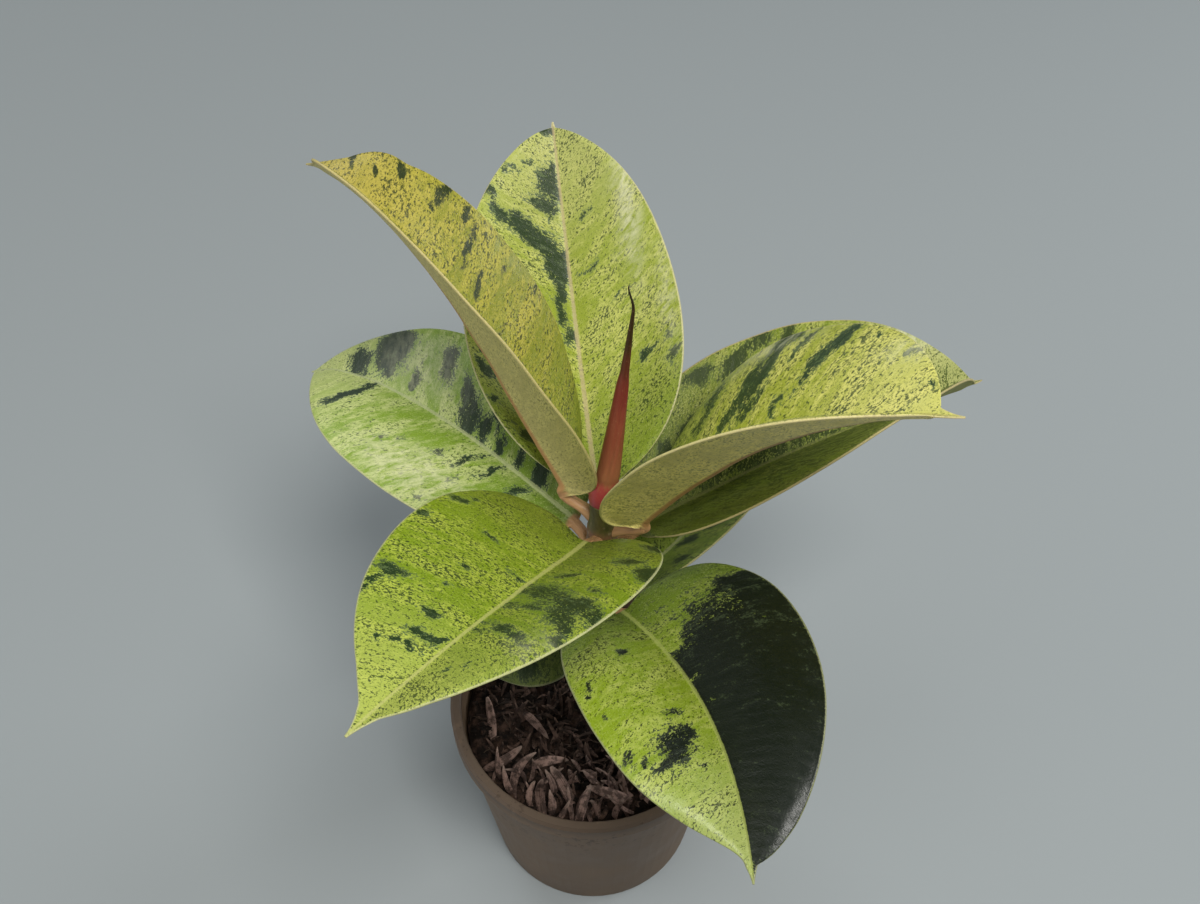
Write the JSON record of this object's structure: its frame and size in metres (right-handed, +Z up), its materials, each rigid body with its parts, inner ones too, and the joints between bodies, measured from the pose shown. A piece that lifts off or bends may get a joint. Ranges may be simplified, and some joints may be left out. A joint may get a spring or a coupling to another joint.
{
  "type": "potted rubber plant",
  "caption": "Young variegated rubber plant with folded leaves round an upright stem and a pointed bud sheath, in a small round plastic pot filled with dark soil and husk chips.",
  "frame": {"origin": "centre of the pot's underside, on the floor", "axes": "+Z up along the pot's axis; -Y towards the side the plant is looked at from; +X to that viewer's right"},
  "size_m": [0.1757, 0.1771, 0.2347],
  "materials": {
    "pot_plastic": "matte taupe-grey",
    "soil": "rough and dark, dry at the top",
    "stem_skin": "olive-brown bark, half matte",
    "sheath_skin": "smooth dark red, satin",
    "leaf_skin": "waxy yellow-green with dark green patches and specks",
    "husk": "dry, rough taupe"
  },
  "bodies": {
    "root": {"nursery_pot": "pot_plastic", "potting_soil": "soil", "stem": "stem_skin", "bud_sheath": "sheath_skin", "leaf_top_left": "leaf_skin", "leaf_top_right": "leaf_skin", "leaf_front_left": "leaf_skin", "leaf_back": "leaf_skin", "leaf_front_right": "leaf_skin", "leaf_left": "leaf_skin", "leaf_right": "leaf_skin", "leaf_low_right": "leaf_skin", "leaf_low_left": "leaf_skin", "husk_chip_01": "husk", "husk_chip_02": "husk", "husk_chip_03": "husk", "husk_chip_04": "husk", "husk_chip_05": "husk", "husk_chip_06": "husk", "husk_chip_07": "husk", "husk_chip_08": "husk", "husk_chip_09": "husk", "husk_chip_10": "husk", "husk_chip_11": "husk", "husk_chip_12": "husk", "husk_chip_13": "husk", "husk_chip_14": "husk"}
  },
  "joints": []
}
